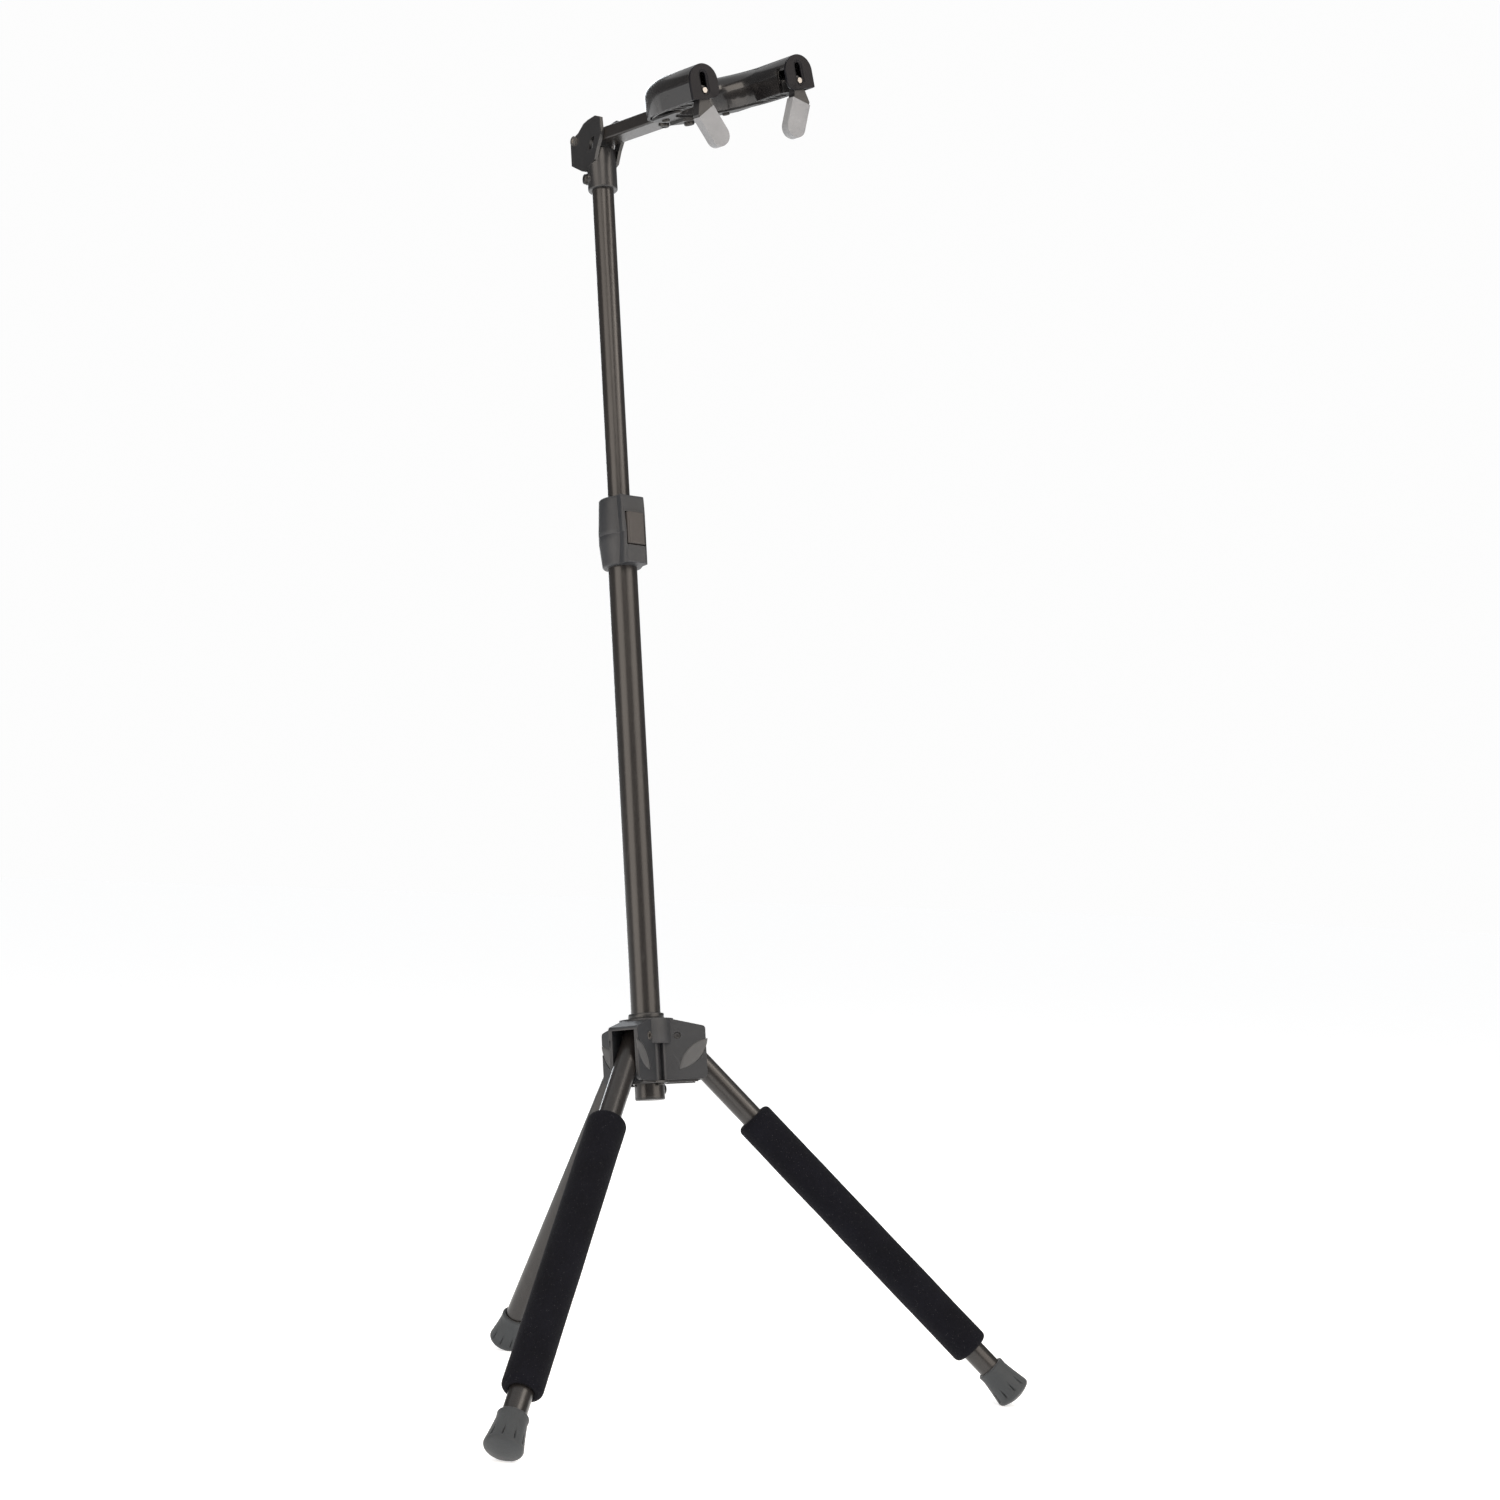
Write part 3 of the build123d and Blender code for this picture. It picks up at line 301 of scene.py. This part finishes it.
# ------------------------------------------------------------------ CAD nodes: finish and broken edges
BEVEL_FROM_ANGLE = math.radians(32)
BROKEN_EDGES = {
    "cradle_cover": 0.0007, "tip_cap_left": 0.0005, "tip_cap_right": 0.0005, "hub_housing": 0.0008,
    "clutch_lower": 0.0005, "clutch_upper": 0.0008, "clutch_button": 0.0005, "head_bracket": 0.0006,
    "finger_lever_left": 0.0007, "finger_lever_right": 0.0007, "arm_tail_cap": 0.0004, "hub_ring": 0.0006,
    "yoke_frame": 0.0003, "yoke_plate": 0.0003, "arm_plug": 0.0004, "hub_plate": 0.0003,
    "finger_pad_left": 0.0006, "finger_pad_right": 0.0006,
}
for part in frame["record"]["subparts"]:
    node = NODES[part["node"]]
    node.data.materials.clear()
    look = "cap_plastic" if part["node"].startswith("tip_cap") else part["material_slot"]
    node.data.materials.append(MATERIALS[look])
    if part["node"] in BROKEN_EDGES:
        weld = node.modifiers.new("weld", "WELD")
        weld.merge_threshold = 1e-6
        bevel = node.modifiers.new("edges", "BEVEL")
        bevel.width = BROKEN_EDGES[part["node"]]
        bevel.segments = 2
        bevel.limit_method = "ANGLE"
        bevel.angle_limit = BEVEL_FROM_ANGLE
        bevel.harden_normals = True
        bevel.use_clamp_overlap = True


# ------------------------------------------------------------------ mesh helpers
def mesh_piece(name, bm, slot, body, *replaced):
    mesh = bpy.data.meshes.new(name)
    bm.to_mesh(mesh)
    bm.free()
    for face in mesh.polygons:
        face.use_smooth = True
    piece = bpy.data.objects.new(name, mesh)
    bpy.context.scene.collection.objects.link(piece)
    mesh.materials.append(MATERIALS[slot])
    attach(piece, body)
    if replaced:
        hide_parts(*replaced)
    return piece


def lathe(profile, steps, place, shape=None):
    """Turns (radius, height) points about Z; shape(radius, angle, height) may change a radius."""
    bm = bmesh.new()
    rings = []
    for radius, height in profile:
        if radius < 1e-7:
            rings.append([bm.verts.new(place @ Vector((0, 0, height)))])
            continue
        ring = []
        for k in range(steps):
            angle = 2 * math.pi * k / steps
            r = shape(radius, angle, height) if shape else radius
            ring.append(bm.verts.new(place @ Vector((r * math.cos(angle), r * math.sin(angle), height))))
        rings.append(ring)
    for low, high in zip(rings, rings[1:]):
        for k in range(max(len(low), len(high))):
            a, b = low[k % len(low)], low[(k + 1) % len(low)]
            c, d = high[(k + 1) % len(high)], high[k % len(high)]
            bm.faces.new([v for n, v in enumerate((a, b, c, d)) if v not in (a, b, c, d)[:n]])
    bmesh.ops.recalc_face_normals(bm, faces=bm.faces)
    return bm


def arc(cx, cz, r, start, end, steps):
    """Points of an arc in (radius, height), angles in degrees from the outward direction."""
    out = []
    for k in range(steps + 1):
        t = math.radians(start + (end - start) * k / steps)
        out.append((cx + r * math.cos(t), cz + r * math.sin(t)))
    return out


def leg_place(name):
    """Z runs down the leg from its pivot, Y along the hinge pin."""
    pivot = Vector(JOINTS[f"leg_{name}_fold"]["pos_m"])
    turn = Matrix.Rotation(-LEAN, 4, "X") @ Matrix.Rotation(math.radians(LEG_AZIMUTHS[name]), 4, "Z")
    return Matrix.Translation(pivot) @ turn @ Matrix.Rotation(math.pi - LEG_OPEN, 4, "Y")


# ------------------------------------------------------------------ foam sleeves
def make_foam(name):
    place = leg_place(name)
    end = FOAM_START + FOAM_LENGTH
    lip = FOAM_LIP
    pitch = (FOAM_LENGTH - 2 * lip) / FOAM_STEPS
    profile = [(LEG_R - 0.0004, FOAM_START + 0.003), (LEG_R + 0.0002, FOAM_START + 0.0008)]
    profile += arc(FOAM_R - lip, FOAM_START + lip, lip, -100, 0, 8)
    profile += [(FOAM_R, FOAM_START + lip + pitch * k) for k in range(1, FOAM_STEPS)]
    profile += arc(FOAM_R - lip, end - lip, lip, 0, 100, 8)
    profile += [(LEG_R + 0.0002, end - 0.0008), (LEG_R - 0.0004, end - 0.003)]

    def swell(radius, angle, height):
        if radius < LEG_R + 0.001:
            return radius
        spot = Vector((math.cos(angle), math.sin(angle), height * 20)) * 1.3
        coarse = noise.noise(spot + Vector((0, 0, len(name))))
        fine = noise.noise(spot * 14)
        return radius + FOAM_COARSE * coarse + FOAM_FINE * fine

    piece = mesh_piece(f"foam_{name}", lathe(profile, 72, place, swell), "foam", f"leg_{name}",
                       f"foam_sleeve_{name}")


# ------------------------------------------------------------------ rubber feet
def make_foot(name):
    place = leg_place(name)
    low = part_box(f"foot_{name}")[0].z
    reach = max((v.co - place.translation).dot(place.to_3x3() @ Vector((0, 0, 1)))
                for v in NODES[f"foot_{name}"].data.vertices)
    top = reach - FOOT_LENGTH + 0.0004
    profile = [(LEG_R - 0.0003, top + 0.0015), (LEG_R + 0.0004, top + 0.0001)]
    profile += arc(FOOT_TOP_R - FOOT_SHOULDER, top + FOOT_SHOULDER, FOOT_SHOULDER, -80, 0, 5)
    profile += [(FOOT_TOP_R - 0.0001, top + 0.003), (FOOT_TOP_R - 0.0003, top + 0.006)]
    for k in range(1, 21):
        t = k / 20
        radius = FOOT_TOP_R + (FOOT_BOTTOM_R - FOOT_TOP_R) * (t ** 1.2)
        profile.append((radius - 0.0002 * (1 - t), top + 0.006 + t * (FOOT_LENGTH - 0.0125)))
    sole = top + FOOT_LENGTH
    profile += arc(FOOT_BOTTOM_R - FOOT_SOLE_ROUND, sole - 0.0066, FOOT_SOLE_ROUND, 5, 52, 6)
    rim = profile[-1]
    for k in range(1, 13):
        t = 1 - k / 12
        profile.append((rim[0] * t, sole - (sole - rim[1]) * t ** 2))

    def flutes(radius, angle, height):
        """Short V notches that widen downwards and stop above the sole."""
        phase = (angle * FOOT_FLUTES / (2 * math.pi)) % 1.0
        away = abs(phase - 0.5)
        drop = (height - (sole - FLUTE_ABOVE_SOLE)) / FLUTE_LENGTH
        if drop <= 0 or drop > 1:
            return radius
        width = 0.045 + 0.085 * drop
        return radius - FLUTE_DEPTH * max(0.0, 1 - away / width) * min(1.0, drop * 1.6)

    bm = lathe(profile, 300, place, flutes)
    for vert in bm.verts:
        vert.co.z = max(vert.co.z, low)
    mesh_piece(f"rubber_foot_{name}", bm, "foot_rubber", f"leg_{name}", f"foot_{name}")


for leg in LEG_AZIMUTHS:
    make_foot(leg)
    if leg != "rear":
        make_foam(leg)


# ------------------------------------------------------------------ small pieces on the hub, stub and yoke
HINGE_BEHIND_MAST = 0.07032     # rear hinge pin behind the point where the mast's axis meets the floor
MAST_FOOT = Vector((0, JOINTS["leg_rear_fold"]["pos_m"][1] - HINGE_BEHIND_MAST, 0))
MAST = Matrix.Translation(MAST_FOOT) @ Matrix.Rotation(-LEAN, 4, "X")
LENS_AT = Vector((0.037, 0, 0.282))
LENS_R = 0.0287
LENS_BEND = 0.0159
LENS_FACE = 0.0131
LENS_SUNK = 0.0008
LENS_STEPS = 16
LENS_CROWN = ((1.0, 0.0), (0.97, 0.0003), (0.7, 0.00042), (0.35, 0.0005))  # scale, rise
SNAP_RING_AT = Vector((0.0125, 0, 0.2545))
SNAP_RING_R = 0.0038
SNAP_RING_ROUND = 0.0012
WELL_AT = -0.01185              # along the rivet, from the pocket's middle
WELL_R = 0.0028
SPRING_PRESSED = 0.3


def make_panels():
    """The smooth lens-shaped panels on the sides of the leg pockets, slightly crowned."""
    half_turn = math.acos(LENS_BEND * math.sqrt(2) / LENS_R)
    outline = []
    for centre, start in (((-1, 1), -45), ((1, -1), 135)):
        for k in range(LENS_STEPS):
            t = math.radians(start) - half_turn + 2 * half_turn * k / LENS_STEPS
            x = centre[0] * LENS_BEND + LENS_R * math.cos(t)
            outline.append((x, centre[1] * LENS_BEND + LENS_R * math.sin(t)))
    bm = bmesh.new()
    for azimuth in LEG_AZIMUTHS.values():
        turn = MAST @ Matrix.Rotation(math.radians(azimuth), 4, "Z")
        for side in (-1, 1):
            rings = []
            for scale, lift in LENS_CROWN:
                y = side * (LENS_FACE - LENS_SUNK + lift)
                spots = [LENS_AT + Vector((x * scale, y, z * scale)) for x, z in outline]
                rings.append([bm.verts.new(turn @ spot) for spot in spots])
            for low, high in zip(rings, rings[1:]):
                for k in range(len(low)):
                    n = (k + 1) % len(low)
                    bm.faces.new((low[k], low[n], high[n], high[k]))
            bm.faces.new(rings[-1])
    bmesh.ops.recalc_face_normals(bm, faces=bm.faces)
    return mesh_piece("hub_panels", bm, "hub_plastic", "mast_base")


def make_snap_ring():
    """The ring round the snap button, sunk a little into the stub."""
    inner = SNAP_RING_R - SNAP_RING_ROUND
    profile = arc(SNAP_RING_R, 0.0008, SNAP_RING_ROUND, -90, 180, 10)
    profile += [(inner, -0.0006), (SNAP_RING_R, -0.0006)]
    place = MAST @ Matrix.Translation(SNAP_RING_AT) @ Matrix.Rotation(math.pi / 2, 4, "Y")
    mesh_piece("snap_ring", lathe(profile, 40, place), "lever_plastic", "mast_base")


def make_rivet_wells():
    """Dark discs at the bottoms of the recesses that the plain ends of the hinge rivets sit in: painted shade in
    those recesses.
    """
    profile = [(0.0, 0.0), (WELL_R - 0.0006, 0.0), (WELL_R, 0.0003), (WELL_R, -0.0004)]
    for name in LEG_AZIMUTHS:
        place = leg_place(name) @ Matrix.Translation((0, WELL_AT, 0)) @ Matrix.Rotation(math.pi / 2, 4, "X")
        mesh_piece(f"rivet_well_shade_{name}", lathe(profile, 32, place), "lever_plastic", "mast_base")


def make_cradle_springs():
    """The two cradle springs at about their pressed length, so that they stay inside the pressed cover."""
    bm = bmesh.new()
    bm.from_mesh(NODES["cradle_springs"].data)
    for side in (-1, 1):
        verts = [v for v in bm.verts if v.co.x * side > 0]
        low = min(v.co.z for v in verts)
        for vert in verts:
            vert.co.z = low + (vert.co.z - low) * SPRING_PRESSED
    mesh_piece("pressed_springs", bm, "spring_steel", "yoke", "cradle_springs")


panels = make_panels()
# the panels take the paler copy of the hub plastic: painted light on these facets
panels.data.materials[0] = MATERIALS["lit_panel_plastic"]
make_snap_ring()
make_rivet_wells()
make_cradle_springs()

# ------------------------------------------------------------------ floor
FLOOR_HALF = 40.0
FLOOR_PALE = 0.88
FLOOR_GLOW = 0.57


def floor_paper():
    """Pale matte paper that glows a little, so that it stays pale far from the lamps."""
    m = Nodes("floor_paper")
    pale = (FLOOR_PALE,) * 3
    paler = (FLOOR_PALE * 1.02,) * 3
    base = m.mix(m.span(m.noise(6.0, 3.0), 0.3, 0.7), pale, paler)
    rough = m.span(m.noise(40.0, 3.0), 0.3, 0.7, 0.8, 0.9)
    return m.finish(base, rough, Emission_Color=(1.0, 1.0, 1.0, 1.0), Emission_Strength=FLOOR_GLOW,
                    Specular_IOR_Level=0.1)


def make_floor():
    bm = bmesh.new()
    corners = ((-1, -1), (1, -1), (1, 1), (-1, 1))
    bm.faces.new([bm.verts.new((x * FLOOR_HALF, y * FLOOR_HALF, 0)) for x, y in corners])
    mesh = bpy.data.meshes.new("floor")
    bm.to_mesh(mesh)
    bm.free()
    floor = bpy.data.objects.new("floor", mesh)
    bpy.context.scene.collection.objects.link(floor)
    mesh.materials.append(floor_paper())


make_floor()

# ------------------------------------------------------------------ light
WARM = (1.0, 0.90, 0.80)
COOL = (0.92, 0.96, 1.0)
BACKDROP = (0.98, 0.98, 0.98)
SKY = (0.96, 0.98, 1.0)
SKY_STRENGTH = 0.16
SUN_STRENGTH = 1.0
SUN_SPREAD = math.radians(100)


def area_light(name, place, aim, size, power, colour):
    data = bpy.data.lights.new(name, "AREA")
    data.shape = "RECTANGLE"
    data.size, data.size_y = size
    data.energy = power
    data.color = colour
    lamp = bpy.data.objects.new(name, data)
    bpy.context.scene.collection.objects.link(lamp)
    lamp.location = place
    lamp.rotation_mode = "QUATERNION"
    lamp.rotation_quaternion = (Vector(aim) - Vector(place)).to_track_quat("-Z", "Y")


def soft_sun():
    data = bpy.data.lights.new("soft_sun", "SUN")
    data.energy = SUN_STRENGTH
    data.angle = SUN_SPREAD
    sun = bpy.data.objects.new("soft_sun", data)
    bpy.context.scene.collection.objects.link(sun)
    sun.location = (0, 0, 5)


def studio_world():
    """A near-white backdrop for the camera, and a much dimmer one for everything that it lights."""
    world = bpy.data.worlds.new("studio")
    world.use_nodes = True
    tree = world.node_tree
    seen = tree.nodes["Background"]
    seen.inputs["Color"].default_value = (*BACKDROP, 1.0)
    seen.inputs["Strength"].default_value = 1.0
    lit = tree.nodes.new("ShaderNodeBackground")
    lit.inputs["Color"].default_value = (*SKY, 1.0)
    lit.inputs["Strength"].default_value = SKY_STRENGTH
    path = tree.nodes.new("ShaderNodeLightPath")
    both = tree.nodes.new("ShaderNodeMixShader")
    tree.links.new(path.outputs["Is Camera Ray"], both.inputs["Fac"])
    tree.links.new(lit.outputs["Background"], both.inputs[1])
    tree.links.new(seen.outputs["Background"], both.inputs[2])
    tree.links.new(both.outputs["Shader"], tree.nodes["World Output"].inputs["Surface"])
    bpy.context.scene.world = world


area_light("softbox_left", (-2.57, -0.5, 0.85), (0, 0, 0.6), (2.3, 3.0), 58, WARM)
area_light("softbox_right", (0.85, -2.44, 0.85), (0, 0, 0.6), (2.3, 3.0), 50, WARM)
area_light("overhead_left", (-1.15, -1.75, 2.5), (-0.1, -0.15, 0.2), (1.3, 1.3), 22, WARM)
area_light("overhead_right", (0.95, -1.85, 2.5), (0, -0.15, 0.2), (1.1, 1.3), 18, WARM)
area_light("rim_back", (0.9, 2.4, 1.3), (0, 0, 0.6), (0.8, 2.4), 20, COOL)
soft_sun()
studio_world()
bpy.context.scene.view_settings.view_transform = "Standard"

# ------------------------------------------------------------------ camera
CAMERA_FROM_MAST = Vector((-1.3118, -1.7771, 0.4288))
YAW = math.radians(-35.576)
PITCH = math.radians(-0.281)
ROLL = math.radians(2.261)
SENSOR_MM = 36.0
LENS_MM = 64.19
SHIFT = (0.0688, 0.0762)


def make_camera():
    back = Vector((math.sin(YAW) * math.cos(PITCH), -math.cos(YAW) * math.cos(PITCH), math.sin(PITCH)))
    right = Vector((math.cos(YAW), math.sin(YAW), 0))
    up = back.cross(right)
    rolled_right = right * math.cos(ROLL) + up * math.sin(ROLL)
    rolled_up = up * math.cos(ROLL) - right * math.sin(ROLL)
    turn = Matrix((rolled_right, rolled_up, back)).transposed().to_4x4()
    data = bpy.data.cameras.new("camera")
    data.sensor_width = SENSOR_MM
    data.lens = LENS_MM
    data.shift_x, data.shift_y = SHIFT
    camera = bpy.data.objects.new("camera", data)
    bpy.context.scene.collection.objects.link(camera)
    camera.matrix_world = Matrix.Translation(MAST_FOOT + CAMERA_FROM_MAST) @ turn
    bpy.context.scene.camera = camera


make_camera()
